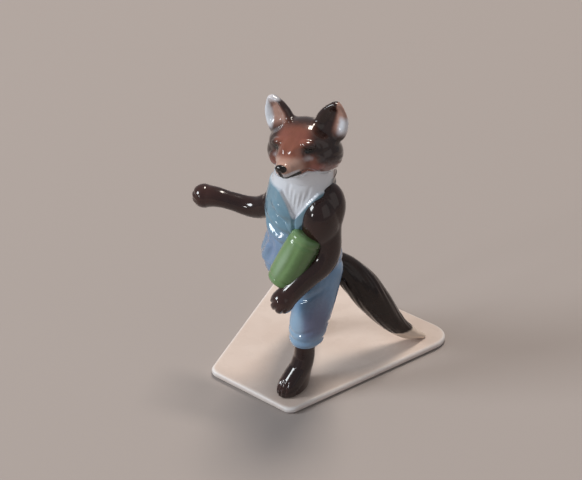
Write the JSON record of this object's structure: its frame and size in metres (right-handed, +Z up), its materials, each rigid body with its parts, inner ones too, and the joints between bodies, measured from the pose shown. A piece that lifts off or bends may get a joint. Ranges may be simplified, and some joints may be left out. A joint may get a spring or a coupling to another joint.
{
  "type": "fox figurine",
  "caption": "Glazed porcelain fox in a light-blue suit striding across a flat plate, one paw stretched out, a green packet under the other arm and its tail resting on the plate.",
  "frame": {"origin": "centre of the plate's underside", "axes": "+Z up, the fox walks towards -Y, its left side is +X"},
  "size_m": [0.062, 0.061, 0.0934],
  "materials": {
    "plate_glaze": "clear gloss glaze over white porcelain",
    "fur_glaze": "clear gloss glaze over dark brown",
    "trouser_glaze": "clear gloss glaze over light blue",
    "jacket_glaze": "clear gloss glaze over light blue with a white throat",
    "face_glaze": "clear gloss glaze over orange-brown, darker at the sides",
    "ear_glaze": "clear gloss glaze, pale inside and dark brown outside",
    "packet_glaze": "clear gloss glaze over green",
    "tail_glaze": "clear gloss glaze over dark brown with a cream tip"
  },
  "bodies": {
    "root": {"base_plate": "plate_glaze", "left_foot": "fur_glaze", "right_foot": "fur_glaze", "left_leg": "trouser_glaze", "right_leg": "trouser_glaze", "torso": "jacket_glaze", "head": "face_glaze", "left_ear": "ear_glaze", "right_ear": "ear_glaze", "left_arm": "fur_glaze", "right_arm": "fur_glaze", "parcel": "packet_glaze", "tail": "tail_glaze"}
  },
  "joints": []
}
